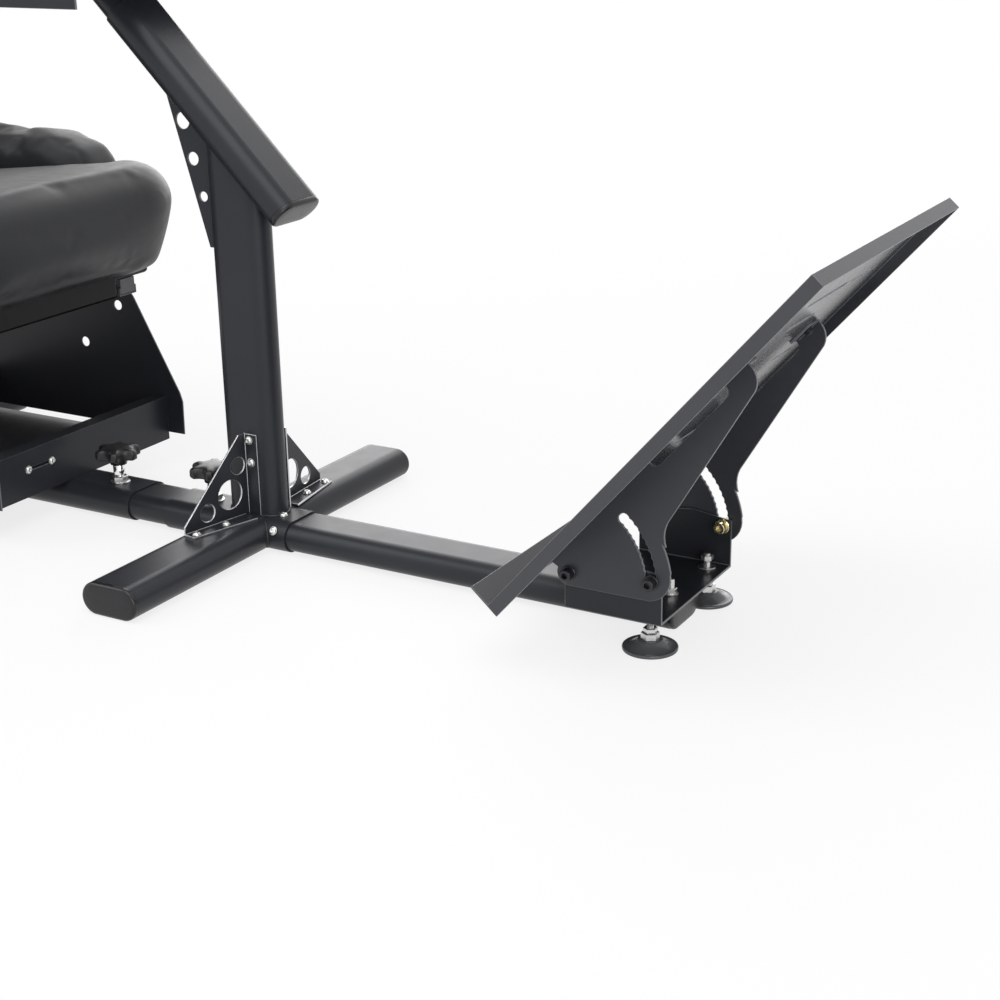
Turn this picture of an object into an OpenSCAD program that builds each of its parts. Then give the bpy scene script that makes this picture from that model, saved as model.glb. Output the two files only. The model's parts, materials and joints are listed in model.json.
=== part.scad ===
// Sim racing cockpit: a pedal deck, a steering column and a seat on one main rail.
// Millimetres. The origin lies on the floor under the steering column.
// +X points to the pedals, +Y to the driver's left, +Z up.

/* [Tubes] */
// Wide side of the flat-oval tubes
tube_w = 80; // [70:1:96]
// Narrow side of the flat-oval tubes
tube_h = 40; // [34:1:46]
// Wall of the flat-oval tubes
tube_wall = 1.8; // [1.5:0.1:2.4]
// Gap all round between an inner tube and the tube it slides in
rail_clear = 0.45; // [0.3:0.05:0.8]
// Length of each cross foot, from cap to cap
foot_len = 583; // [520:1:680]
// Thickness of the plastic caps outside the tubes
cap_t = 7; // [5:0.5:9]

/* [Main rail and sleeves] */
// Front end of the main rail, ahead of the column
rail_front = 592; // [560:1:700]
// Rear end of the main rail, behind the column
rail_rear = 640; // [600:1:680]
// Front end of the column sleeve, ahead of the column
sleeve_front = 65; // [50:1:80]
// Rear end of the column sleeve, behind the column
sleeve_rear = 128; // [110:1:140]
// Open stretch of rail between the column sleeve and the seat sleeve
rail_gap = 60; // [50:1:100]
// Length of the seat sleeve
seat_sleeve_len = 640; // [600:1:700]

/* [Steering column] */
// Height where the steering tube's underside crosses the column's middle
steer_z = 479; // [450:1:540]
// Slope of the steering tube above level
steer_slope = 45; // [35:1:50]
// Length of the steering tube above the column's middle
steer_up = 225; // [180:1:260]
// Length of the steering tube below the column's middle
steer_down = 90; // [84:1:110]
// Height of the wheel deck's underside
deck_z = 690; // [660:1:730]
// Width of the wheel deck
deck_w = 320; // [260:1:380]
// Depth of the wheel deck
deck_d = 230; // [200:1:280]

/* [Gussets] */
// Thickness of the sheet-metal gussets
gusset_t = 2.5; // [2:0.1:4]
// Reach of a foot gusset along the cross foot
gusset_reach = 105; // [90:1:130]
// Height of a foot gusset along the column
gusset_rise = 107; // [90:1:130]

/* [Pedal base] */
// Length of the pedal base along the rail
base_len = 116.6; // [105:0.2:130]
// Width of the pedal base over its walls
base_w = 192.5; // [170:0.5:230]
// Sheet thickness of the pedal base and the pedal arms
base_t = 3; // [2.5:0.1:4]
// Height of the base walls above the base plate
base_wall_h = 62; // [56:0.5:70]
// Radius of the levelling pads
pad_r = 31; // [25:0.5:36]

/* [Pedal deck] */
// Width of the pedal plate
plate_w = 423; // [380:1:480]
// Length of the pedal plate up its slope
plate_len = 516; // [440:1:560]
// Sheet thickness of the pedal plate
plate_t = 2; // [1.5:0.1:3]
// Tilt of the pedal plate above level
plate_tilt = 48.6; // [40:0.1:52]
// Depth of the flanges on the back of the pedal plate
plate_flange = 15.3; // [12:0.1:20]
// Height of the heel lip along the lower edge
heel_lip = 28; // [20:0.5:35]
// Radius of the serrated slot about the pivot
slot_r = 99; // [90:0.5:102]
// Radius of the slot bolts and pivot bolts
bolt_r = 4; // [3:0.1:5]

/* [Seat frame] */
// Width over the side plates
frame_w = 362; // [320:1:400]
// Sheet thickness of the side plates and the tray
frame_t = 2; // [1.5:0.1:3]
// Height of the side plates' tops
frame_top = 251; // [230:1:280]
// Height of the tray's front wall
tray_top = 103; // [90:1:120]

/* [Seat] */
// Width of the seat cushion
seat_w = 500; // [440:1:540]
// Depth of the seat cushion
seat_d = 500; // [460:1:520]
// Thickness of the seat cushion at its nose
seat_t = 142; // [120:1:150]
// Length of the cushion's nose, ahead of the side bolsters
nose_len = 130; // [120:1:160]
// Radius of the cushion's front corners, seen from above
nose_r = 110; // [80:1:118]
// Recline of the backrest from upright
back_lean = 16; // [10:0.5:22]
// Length of the backrest
back_len = 760; // [680:1:820]
// Width of the backrest at the shoulders
back_w = 480; // [440:1:520]
// Width of the headrest
head_w = 248; // [220:1:280]

/* [Hidden] */
$fn = 64;

// Colours
steel_black = [0.10, 0.10, 0.11];
plastic_black = [0.05, 0.05, 0.06];
chrome = [0.75, 0.76, 0.78];
zinc = [0.62, 0.62, 0.58];
yellow_zinc = [0.72, 0.62, 0.36];
vinyl = [0.22, 0.23, 0.24];

// Tubes
inner_w = tube_w - 2 * tube_wall - 2 * rail_clear;
inner_h = tube_h - 2 * tube_wall - 2 * rail_clear;
flat_half = (tube_w - tube_h) / 2;
rail_top = tube_h / 2 + inner_h / 2;
fit_gap = 0.3;
cap_plug = 18;
cope_start = flat_half + 6;

// Room enough to hold any piece that is trimmed
far = 400;

// Sleeves
seat_front = -sleeve_rear - rail_gap;
seat_rear = seat_front - seat_sleeve_len;
rear_foot_x = seat_rear + 110;

// Knobs
column_knob_x = -sleeve_rear + 54;
seat_knob_x = seat_front - 45;
knob_r = 30;
knob_h = 15;
knob_z = tube_h + 34;
knob_stem_r = 5;
knob_neck_r = 8;
knob_nut_h = 9;
knob_notch_r = 13;
knob_notch_out = 5;

// Pedal base
base_front = rail_front + 13.6;
base_rear = base_front - base_len;
base_z = rail_top + base_t;
base_y = base_w / 2;
pivot_x = base_rear + 7;
pivot_z = base_z + 39.6;
pivot_boss_r = 14.5;
slot_sweep = 44;
slot_rest = 4.3;
slot_steps = 10;
scallop_r = 6.6;
slot_bolt_x = pivot_x + slot_r * cos(slot_rest);
slot_bolt_z = pivot_z + slot_r * sin(slot_rest);
pad_x = base_front - 21.6;
pad_y = base_y - 19.6;
pad_rim = 4;
pad_t = 12;
stud_r = 4;
stud_top = base_z + 18;
base_bolts_at = [[rail_front - 12, -15], [base_rear + 22, 15]];
hole_clear = 0.1;
head_gap = 0.3;
arm_gap = 0.5;
head_h = 9;
nut_h = 6.5;
arm_in = base_y + arm_gap;
arm_out = arm_in + base_t;
arm_tab_w = 25;

// Pedal plate
pivot_u = 28.9;
pivot_drop = 24.2;
plate_x = pivot_x - pivot_u * cos(plate_tilt) - pivot_drop * sin(plate_tilt);
plate_z = pivot_z - pivot_u * sin(plate_tilt) + pivot_drop * cos(plate_tilt);
plate_bolt_r = 3;
plate_bolts_u = [85, 346];
plate_bolt_y = arm_in - 12;
slots_middle = [[426, 110], [383, 82], [292, 82], [200, 82], [110, 82]];
slots_outer = [[424, 116, 73], [312, 153, 62], [297, 101, 58],
               [243, 127, 45], [195, 142, 45], [110, 142, 45]];
slot_w = 7;

// Foot gussets
screw_r = 5;
screw_h = 3;
gusset_flange = 26;
gusset_screws_x_z = [[10, 70], [8.5, 99]];
gusset_screws_y = [50, 97];
gusset_holes = [[16, 68, 11], [31, 34, 19], [68, 20, 11.5]];
gusset_x_right = -2;
gusset_turn_right = 12;
gusset_x_left = 12;
gusset_turn_left = 5;

// Steering tube and wheel deck
upper_low = steer_z - 106;
upper_spread = 0.28;
inner_overlap = 110;
deck_lip = 25;
wheel_hole_x = 60;
wheel_hole_y = 110;
wheel_hole_r = 3.25;

// Seat frame
tray_front = seat_front - 109;
tray_rear = tray_front - 360;
tray_lip = 24;
tray_slot_h = 4;
tray_bolts_y = [-101, -58];
tray_bolts_z = tray_top - 26;
frame_y = frame_w / 2;
frame_bottom = 50;
top_flange = 28;
side_hole_r = 7;
channel_w = 34;
channel_h = 20;
channel_t = 2;
channel_len = 360;
channel_x = tray_front - 38;
channel_y = frame_y - 20;
runner_gap = 0.5;
pan_z = frame_top + channel_h + 4;
pan_t = 14;
cushion_z = pan_z + pan_t + fit_gap;
cushion_front = seat_front - 74;
cushion_rear = cushion_front - seat_d;
nose_rear = cushion_front - nose_len;
cushion_top = cushion_z + seat_t;
bolster_w = 78;
half_seat = seat_w / 2;
half_middle = half_seat - bolster_w;
pan_front = cushion_front - 70;
pan_half = half_seat - 45;
skirt_half = channel_y - channel_w / 2 - 6;
skirt_t = 8;
pad_front = 30;
pad_back = -40;
shell_t = 20;
bolster_low = 110;
neck_z = back_len - 190;
half_back = back_w / 2;
half_neck = 150;
half_head = head_w / 2;

function arc_points(cx, cy, r, from, to, steps) =
    [for (i = [0 : steps]) [cx + r * cos(from + (to - from) * i / steps),
                            cy + r * sin(from + (to - from) * i / steps)]];

module flat_oval(wide, narrow) {
    square([wide - narrow, narrow], center = true);
    for (side = [-1, 1])
        translate([side * (wide - narrow) / 2, 0]) circle(d = narrow);
}

module tube_profile(wide, narrow, wall) {
    difference() {
        flat_oval(wide, narrow);
        flat_oval(wide - 2 * wall, narrow - 2 * wall);
    }
}

// A tube along X that lies on z = 0 with its wide side across
module tube_along_x(from, to, wide, narrow, wall) {
    translate([from, 0, tube_h / 2]) rotate([90, 0, 90])
        linear_extrude(to - from) tube_profile(wide, narrow, wall);
}

module solid_along_x(from, to, wide, narrow) {
    translate([from, 0, tube_h / 2]) rotate([90, 0, 90])
        linear_extrude(to - from) flat_oval(wide, narrow);
}

// Places a 2D outline drawn in x and z, from y = low to y = high
module upright_plate(low, high) {
    translate([0, high, 0]) rotate([90, 0, 0]) linear_extrude(high - low) children();
}

// A bevelled plastic cap whose plug points to -Z
module tube_cap(wide, narrow, wall) {
    linear_extrude(cap_t / 2) flat_oval(wide, narrow);
    hull() {
        translate([0, 0, cap_t / 2]) linear_extrude(0.01) flat_oval(wide, narrow, $fn = 32);
        translate([0, 0, cap_t - 0.01]) linear_extrude(0.01) flat_oval(wide - 8, narrow - 8, $fn = 32);
    }
    translate([0, 0, -cap_plug]) linear_extrude(cap_plug)
        flat_oval(wide - 2 * wall - 0.6, narrow - 2 * wall - 0.6);
}

// Main rail and pedal base
module main_rail() {
    color(steel_black) tube_along_x(-rail_rear, rail_front - cap_t, inner_w, inner_h, tube_wall);
}

module rail_cap() {
    color(plastic_black) translate([rail_front - cap_t, 0, tube_h / 2]) rotate([90, 0, 90])
        tube_cap(inner_w, inner_h, tube_wall);
}

module base_wall_outline() {
    difference() {
        union() {
            polygon([[pivot_x, rail_top], [base_front, rail_top], [base_front, base_z + base_wall_h - 7],
                     [base_front - 50, base_z + base_wall_h], [pivot_x, base_z + base_wall_h - 7.9]]);
            translate([pivot_x, pivot_z]) circle(r = pivot_boss_r);
            translate([base_rear, rail_top]) square([20, pivot_z - rail_top]);
        }
        translate([pivot_x, pivot_z]) circle(r = bolt_r + hole_clear);
        translate([slot_bolt_x, slot_bolt_z]) circle(r = bolt_r + hole_clear);
    }
}

module pedal_base() {
    color(steel_black) difference() {
        union() {
            translate([base_rear, -base_y, rail_top]) cube([base_len, base_w, base_t]);
            upright_plate(-base_y, -base_y + base_t) base_wall_outline();
            upright_plate(base_y - base_t, base_y) base_wall_outline();
        }
        for (side = [-1, 1])
            translate([pad_x, side * pad_y, rail_top - 1]) cylinder(r = stud_r + hole_clear, h = base_t + 2);
        for (at = base_bolts_at)
            translate([at[0], at[1], rail_top - 1]) cylinder(r = bolt_r + hole_clear, h = base_t + 2);
    }
}

// Studs that stand up through the base plate, each with a washer and a nut
module base_bolts() {
    color(zinc) for (at = base_bolts_at) translate([at[0], at[1], base_z]) {
        translate([0, 0, 0.2 - base_t]) cylinder(r = bolt_r, h = stud_top - rail_top - 0.2);
        cylinder(r = 8.5, h = 1.5);
        translate([0, 0, 1.5]) cylinder(r = 7, h = 6, $fn = 6);
    }
}

module levelling_foot(side) {
    translate([pad_x, side * pad_y, 0]) {
        color(plastic_black) {
            cylinder(r = pad_r, h = pad_rim);
            translate([0, 0, pad_rim]) cylinder(r1 = pad_r - 4, r2 = 13, h = pad_t - pad_rim);
        }
        color(zinc) {
            translate([0, 0, pad_t]) cylinder(r = stud_r, h = stud_top - pad_t);
            translate([0, 0, pad_t]) cylinder(r = 10.5, h = 8, $fn = 6);
            translate([0, 0, pad_t + 8]) cylinder(r = 8, h = 5, $fn = 6);
            translate([0, 0, base_z]) cylinder(r = 10.5, h = 1.6);
            translate([0, 0, base_z + 1.6]) cylinder(r = 7.8, h = 8, $fn = 6);
        }
    }
}

// A washer and a socket head that stand on z = 0
module socket_head() {
    cylinder(r = bolt_r + 4.8, h = 1.6);
    difference() {
        translate([0, 0, 1.6]) cylinder(r = bolt_r + 2.8, h = head_h);
        translate([0, 0, 1.6 + head_h / 2]) cylinder(r = bolt_r - 0.5, h = head_h, $fn = 6);
    }
}

module hex_nut() {
    cylinder(r = bolt_r + 3.5, h = nut_h, $fn = 6);
}

// A bolt across a base wall and the arm outside it, with its head on the outer or the inner side
module cross_bolt(side, x, z, head_outside) {
    from_wall = base_t * 2 + arm_gap + head_gap;
    translate([x, side * (arm_out + head_gap), z]) rotate([-90 * side, 0, 0]) {
        translate([0, 0, -from_wall - nut_h]) cylinder(r = bolt_r, h = from_wall + nut_h * 2);
        if (head_outside) socket_head();
        else hex_nut();
        translate([0, 0, -from_wall]) rotate([180, 0, 0]) if (head_outside) hex_nut();
        else socket_head();
    }
}

module pivot_bolts() {
    color(plastic_black) for (side = [-1, 1]) cross_bolt(side, pivot_x, pivot_z, true);
}

module slot_bolt_right() {
    color(plastic_black) cross_bolt(-1, slot_bolt_x, slot_bolt_z, true);
}

module slot_bolt_left() {
    color(yellow_zinc) cross_bolt(1, slot_bolt_x, slot_bolt_z, false);
}

// Pedal deck
module on_plate() {
    translate([plate_x, 0, plate_z]) rotate([0, -plate_tilt, 0]) children();
}

// A point under the plate: u up its slope, drop square to it
function plate_point(u, drop = 0) = [plate_x + u * cos(plate_tilt) + drop * sin(plate_tilt),
                                     plate_z + u * sin(plate_tilt) - drop * cos(plate_tilt)];

function plate_arc(u, drop, r, from, to, steps) =
    arc_points(plate_point(u, drop)[0], plate_point(u, drop)[1], r, plate_tilt + from, plate_tilt + to, steps);

arm_top_u = 357.6;
arm_corner_r = 23;
web_gap = 0.4;
arm_recess = 11;
recess_low = 198;
recess_high = 322;
lobe_r = slot_r + 24;
arm_outline = concat(
    arc_points(pivot_x, pivot_z, pivot_boss_r, 270, 90 + plate_tilt + 20, 8),
    [plate_point(22, web_gap)],
    [plate_point(recess_low, web_gap)],
    plate_arc(recess_low + 8, arm_recess - 8, 8, 180, 270, 4),
    plate_arc(recess_high - 8, arm_recess - 8, 8, 270, 360, 4),
    [plate_point(recess_high, web_gap)],
    [plate_point(arm_top_u, web_gap)],
    plate_arc(arm_top_u - arm_corner_r, 5, arm_corner_r, 0, -73, 8),
    arc_points(pivot_x + 149, pivot_z + 62, 36, 145, 200, 6),
    arc_points(pivot_x, pivot_z, lobe_r, 25, 10, 4),
    arc_points(pivot_x + 92, pivot_z + 14, 29, 10, -80, 8)
);

module arm_slot() {
    translate([pivot_x, pivot_z]) {
        circle(r = bolt_r + 0.05);
        for (i = [0 : slot_steps])
            rotate(slot_rest + i * slot_sweep / slot_steps) translate([slot_r, 0])
                circle(r = scallop_r, $fn = 32);
    }
}

module arm_tab(side, from, to) {
    root = arm_in + base_t / 2;
    translate([from, side > 0 ? root - arm_tab_w : -root, -base_t]) cube([to - from, arm_tab_w, base_t]);
}

module pedal_arm(side) {
    low = side > 0 ? arm_in : -arm_out;
    color(steel_black) {
        upright_plate(low, low + base_t) difference() {
            polygon(arm_outline);
            arm_slot();
        }
        on_plate() difference() {
            union() {
                arm_tab(side, plate_bolts_u[0] - 25, plate_bolts_u[0] + 25);
                arm_tab(side, plate_bolts_u[1] - 20, plate_bolts_u[1] + 10);
            }
            for (u = plate_bolts_u) translate([u, side * plate_bolt_y, -base_t - 1])
                cylinder(r = plate_bolt_r + hole_clear, h = base_t + 2);
        }
    }
}

module plate_slot(u, y, len) {
    translate([u, y, -1]) linear_extrude(plate_t + 2) {
        square([slot_w, len - slot_w], center = true);
        for (end = [-1, 1]) translate([0, end * (len - slot_w) / 2]) circle(d = slot_w);
    }
}

module pedal_plate() {
    half = plate_w / 2;
    color(steel_black) on_plate() difference() {
        union() {
            translate([0, -half, 0]) cube([plate_len, plate_w, plate_t]);
            translate([0, -half, 0]) cube([plate_t, plate_w, heel_lip]);
            for (side = [-1, 1])
                translate([0, side > 0 ? half - plate_t : -half, plate_t - plate_flange])
                    cube([plate_len, plate_t, plate_flange]);
            translate([plate_len - plate_t, -half, plate_t - plate_flange])
                cube([plate_t, plate_w, plate_flange]);
        }
        for (u = plate_bolts_u, side = [-1, 1]) translate([u, side * plate_bolt_y, 0])
            cylinder(r1 = plate_bolt_r + hole_clear, r2 = plate_bolt_r + 2.5, h = plate_t + 0.01);
        for (slot = slots_middle) plate_slot(slot[0], 0, slot[1]);
        for (slot = slots_outer, side = [-1, 1]) plate_slot(slot[0], side * slot[1], slot[2]);
    }
}

// Countersunk bolts, flush with the top of the plate
module plate_bolts() {
    color(plastic_black) on_plate() for (u = plate_bolts_u, side = [-1, 1])
        translate([u, side * plate_bolt_y, 0]) {
            cylinder(r1 = plate_bolt_r, r2 = plate_bolt_r + 2.2, h = plate_t - 0.1);
            translate([0, 0, -base_t - 6]) cylinder(r = plate_bolt_r, h = base_t + 6);
            translate([0, 0, -base_t - 5]) cylinder(r = plate_bolt_r + 2.8, h = 5, $fn = 6);
        }
}

// Column unit
module column_sleeve() {
    color(steel_black) difference() {
        tube_along_x(-sleeve_rear, sleeve_front, tube_w, tube_h, tube_wall);
        translate([column_knob_x, 0, tube_h / 2]) cylinder(r = knob_stem_r + hole_clear, h = tube_h);
    }
}

// One half of a cross foot, coped to the side of the sleeve
module foot_half(side, x) {
    end = foot_len / 2 - cap_t;
    difference() {
        translate([x, side > 0 ? end : -cope_start, tube_h / 2]) rotate([90, 0, 0])
            linear_extrude(end - cope_start) tube_profile(tube_w, tube_h, tube_wall);
        solid_along_x(x - tube_w, x + tube_w, tube_w, tube_h);
    }
}

module foot_end_caps(x) {
    for (side = [-1, 1]) translate([x, side * (foot_len / 2 - cap_t), tube_h / 2])
        rotate([-90 * side, 0, 0]) tube_cap(tube_w, tube_h, tube_wall);
}

module cross_foot_right() {
    color(steel_black) foot_half(-1, 0);
}

module cross_foot_left() {
    color(steel_black) foot_half(1, 0);
}

module foot_caps() {
    color(plastic_black) foot_end_caps(0);
}

module on_steering() {
    translate([0, 0, steer_z]) rotate([0, steer_slope, 0]) rotate([0, 0, 180]) children();
}

module column() {
    color(steel_black) difference() {
        translate([0, 0, tube_h]) linear_extrude(steer_z) tube_profile(tube_w, tube_h, tube_wall);
        on_steering() translate([-far, -far, 0]) cube([far * 2, far * 2, far]);
    }
}

module gusset_outline() {
    difference() {
        polygon([[1, 0], [gusset_reach, 0], [gusset_reach, 11], [12, gusset_rise], [1, gusset_rise]]);
        for (hole = gusset_holes) translate([hole[0], hole[1]]) circle(r = hole[2]);
    }
}

// Turns a foot gusset about the column's face, so that its outer end swings to -X
module turned(side, offset_x, turn) {
    translate([offset_x, side * tube_h / 2, tube_h]) rotate([0, 0, side * turn]) children();
}

module gusset(side, offset_x, turn) {
    color(steel_black) {
        turned(side, offset_x, turn) {
            rotate([90, 0, side * 90]) translate([0, 0, side > 0 ? 0 : -gusset_t])
                linear_extrude(gusset_t) gusset_outline();
            linear_extrude(gusset_t)
                polygon([[0, side * 8], [gusset_flange, side * 8], [gusset_flange - 3, side * 50],
                         [gusset_flange - 6, side * gusset_reach], [0, side * gusset_reach]]);
        }
        translate([offset_x, side > 0 ? tube_h / 2 : -tube_h / 2 - gusset_t, tube_h])
            cube([gusset_flange - 6, gusset_t, gusset_rise]);
    }
}

module gusset_right() {
    gusset(-1, gusset_x_right, gusset_turn_right);
}

module gusset_left() {
    gusset(1, gusset_x_left, gusset_turn_left);
}

module gusset_screw_set(side, offset_x, turn) {
    for (at = gusset_screws_x_z)
        translate([offset_x + at[0], side * (tube_h / 2 + gusset_t), tube_h + at[1]])
            rotate([-90 * side, 0, 0]) cylinder(r = screw_r, h = screw_h);
    turned(side, offset_x, turn) for (y = gusset_screws_y)
        translate([14, side * y, gusset_t]) cylinder(r = screw_r, h = screw_h);
}

module gusset_screws() {
    color(zinc) {
        gusset_screw_set(-1, gusset_x_right, gusset_turn_right);
        gusset_screw_set(1, gusset_x_left, gusset_turn_left);
    }
}

module upper_gusset() {
    edge = -tube_w / 2;
    narrow = edge - 10;
    rise = tube_w + deck_z - steer_z;
    color(steel_black) difference() {
        upright_plate(-gusset_t / 2, gusset_t / 2) difference() {
            polygon([[edge, upper_low], [narrow, upper_low],
                     [narrow - upper_spread * rise, upper_low + rise], [edge, upper_low + rise]]);
            for (i = [0 : 2]) translate([edge - 15 - i * 12, upper_low + 62 + i * 45]) circle(r = 6 + 2 * i);
        }
        on_steering() translate([-far, -far, 0]) cube([far * 2, far * 2, far]);
    }
}

steer_low = -steer_down;

module steering_tube() {
    color(steel_black) on_steering() tube_along_x(steer_low, steer_up, tube_w, tube_h, tube_wall);
}

module steering_tube_cap() {
    color(plastic_black) on_steering() translate([steer_low, 0, tube_h / 2]) rotate([0, -90, 0]) rotate([0, 0, 90])
        tube_cap(tube_w, tube_h, tube_wall);
}

module steering_inner_tube() {
    color(steel_black) difference() {
        on_steering() tube_along_x(steer_up - inner_overlap, steer_up + far, inner_w, inner_h, tube_wall);
        translate([-far * 2, -far, deck_z]) cube([far * 2, far * 2, far]);
    }
}

steer_top_x = -(deck_z - steer_z) / tan(steer_slope);

module wheel_deck() {
    front = steer_top_x + deck_d / 2 + 10;
    color(steel_black) difference() {
        union() {
            translate([front - deck_d, -deck_w / 2, deck_z]) cube([deck_d, deck_w, base_t]);
            for (side = [-1, 1])
                translate([front - deck_d, side > 0 ? deck_w / 2 - base_t : -deck_w / 2, deck_z - deck_lip])
                    cube([deck_d, base_t, deck_lip + base_t]);
        }
        for (dx = [-wheel_hole_x, wheel_hole_x], y = [-wheel_hole_y, wheel_hole_y])
            translate([front - deck_d / 2 + dx, y, deck_z - 1]) cylinder(r = wheel_hole_r, h = base_t + 2);
    }
}

// Knobs
module knob_nut(x) {
    color(zinc) translate([x, 0, tube_h]) difference() {
        cylinder(r = 11, h = knob_nut_h, $fn = 6);
        translate([0, 0, -1]) cylinder(r = knob_stem_r + hole_clear, h = knob_nut_h + 2);
    }
}

module knob_stem(x) {
    color(chrome) translate([x, 0, 0]) {
        translate([0, 0, rail_top + fit_gap]) cylinder(r = knob_stem_r, h = knob_z - rail_top - fit_gap);
        translate([0, 0, tube_h + knob_nut_h + 3]) cylinder(r = knob_neck_r, h = knob_z - tube_h - knob_nut_h - 3);
    }
}

module star_knob(x) {
    color(plastic_black) translate([x, 0, knob_z]) difference() {
        cylinder(r = knob_r, h = knob_h);
        for (i = [0 : 5]) rotate(i * 60 + 30) translate([knob_r + knob_notch_out, 0, -1])
            cylinder(r = knob_notch_r, h = knob_h + 2, $fn = 32);
    }
}

module column_knob_nut() {
    knob_nut(column_knob_x);
}

module column_knob_stem() {
    knob_stem(column_knob_x);
}

module column_knob() {
    star_knob(column_knob_x);
}

module seat_knob_nut() {
    knob_nut(seat_knob_x);
}

module seat_knob_stem() {
    knob_stem(seat_knob_x);
}

module seat_knob() {
    star_knob(seat_knob_x);
}

// Seat unit
module seat_sleeve() {
    color(steel_black) difference() {
        tube_along_x(seat_rear + cap_t, seat_front, tube_w, tube_h, tube_wall);
        translate([seat_knob_x, 0, tube_h / 2]) cylinder(r = knob_stem_r + hole_clear, h = tube_h);
    }
}

module seat_sleeve_cap() {
    color(plastic_black) translate([seat_rear + cap_t, 0, tube_h / 2]) rotate([90, 0, -90])
        tube_cap(tube_w, tube_h, tube_wall);
}

module rear_foot_right() {
    color(steel_black) foot_half(-1, rear_foot_x);
}

module rear_foot_left() {
    color(steel_black) foot_half(1, rear_foot_x);
}

module rear_foot_caps() {
    color(plastic_black) foot_end_caps(rear_foot_x);
}

module seat_tray() {
    wide = frame_w - 2 * frame_t;
    color(steel_black) {
        translate([tray_rear, -wide / 2, tube_h]) cube([tray_front - tray_rear, wide, frame_t]);
        translate([tray_rear, -wide / 2, tube_h]) cube([frame_t, wide, tray_top - tube_h]);
        difference() {
            translate([tray_front - frame_t, -wide / 2, tube_h]) cube([frame_t, wide, tray_top - tube_h]);
            translate([tray_front - frame_t - 1, tray_bolts_y[0], tray_bolts_z - tray_slot_h / 2])
                cube([frame_t + 2, tray_bolts_y[1] - tray_bolts_y[0], tray_slot_h]);
        }
        for (x = [tray_rear, tray_front - tray_lip])
            translate([x, -wide / 2, tray_top - frame_t]) cube([tray_lip, wide, frame_t]);
    }
}

module tray_bolts() {
    color(zinc) for (y = tray_bolts_y) translate([tray_front, y, tray_bolts_z])
        rotate([0, 90, 0]) cylinder(r = screw_r, h = screw_h);
}

side_outline = [
    [tray_front + 28, frame_bottom], [tray_front + 29, frame_bottom + 48], [tray_front + 25, frame_bottom + 61],
    [tray_front - 46, frame_top - 8], [tray_front - 52, frame_top],
    [tray_rear - 10, frame_top], [tray_rear - 40, frame_top - 40], [tray_rear - 20, frame_bottom]
];

module side_plate(side) {
    low = side > 0 ? frame_y - frame_t : -frame_y;
    color(steel_black) {
        upright_plate(low, low + frame_t) difference() {
            polygon(side_outline);
            translate([tray_front - 76, frame_top - 23]) circle(r = side_hole_r);
            translate([tray_front - 144, frame_top - 84]) circle(r = side_hole_r);
        }
        translate([tray_rear, side > 0 ? frame_y - top_flange : -frame_y, frame_top - frame_t])
            cube([tray_front - 56 - tray_rear, top_flange, frame_t]);
    }
}

module side_plate_right() {
    side_plate(-1);
}

module side_plate_left() {
    side_plate(1);
}

module slide_channels() {
    color(zinc) for (side = [-1, 1])
        translate([channel_x - channel_len, side * channel_y - channel_w / 2, frame_top]) difference() {
            cube([channel_len, channel_w, channel_h / 2 + channel_t]);
            translate([-1, channel_t, channel_t])
                cube([channel_len + 2, channel_w - 2 * channel_t, channel_h]);
        }
}

module slide_runners() {
    wide = channel_w - 2 * channel_t - 2 * runner_gap;
    low = frame_top + channel_t + runner_gap;
    color(zinc) for (side = [-1, 1])
        translate([channel_x - channel_len, side * channel_y - wide / 2, low])
            cube([channel_len, wide, pan_z - low]);
}

module seat_pan() {
    color(vinyl) {
        translate([cushion_rear + 10, -pan_half, pan_z]) cube([pan_front - cushion_rear - 10, pan_half * 2, pan_t]);
        translate([pan_front - skirt_t, -skirt_half, frame_top + 1])
            cube([skirt_t, skirt_half * 2, pan_z - frame_top + pan_t - 1]);
    }
}

seat_side = concat(
    [[cushion_rear, cushion_z]],
    arc_points(cushion_front - 56, cushion_z + 16, 16, -90, -20, 4),
    arc_points(cushion_front - 54, cushion_top - 54, 54, -30, 90, 10),
    [[nose_rear, cushion_top - 3], [cushion_rear, cushion_top - 40]]
);

seat_plan = concat(
    [[cushion_rear, -half_middle], [nose_rear, -half_middle], [nose_rear, -half_seat]],
    arc_points(cushion_front - nose_r, nose_r - half_seat, nose_r, -90, 0, 8),
    arc_points(cushion_front - nose_r, half_seat - nose_r, nose_r, 0, 90, 8),
    [[nose_rear, half_seat], [nose_rear, half_middle], [cushion_rear, half_middle]]
);

module seat_cushion() {
    color(vinyl) intersection() {
        upright_plate(-half_seat - 1, half_seat + 1) polygon(seat_side);
        translate([0, 0, cushion_z - 1]) linear_extrude(seat_t + 2) polygon(seat_plan);
    }
}

bolster_side = [
    [cushion_rear, cushion_z], [nose_rear - fit_gap, cushion_z], [nose_rear - fit_gap, cushion_top - 14],
    [nose_rear - 24, cushion_top + 18], [nose_rear - 80, cushion_top + 40], [cushion_rear + 90, cushion_top + 42],
    [cushion_rear + 40, cushion_top + 26], [cushion_rear, cushion_top - 42]
];

module seat_bolster(side) {
    low = side > 0 ? half_middle + fit_gap : -half_seat;
    color(vinyl) upright_plate(low, low + bolster_w - fit_gap) polygon(bolster_side);
}

module seat_bolster_right() {
    seat_bolster(-1);
}

module seat_bolster_left() {
    seat_bolster(1);
}

// Extrudes an outline drawn across and along the backrest, from x = from over a thickness
module back_part(from, thick) {
    translate([cushion_rear - pad_front - 1, 0, cushion_z + 40]) rotate([0, -back_lean, 0])
        translate([from, 0, 0]) rotate([90, 0, 90]) linear_extrude(thick) children();
}

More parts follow.
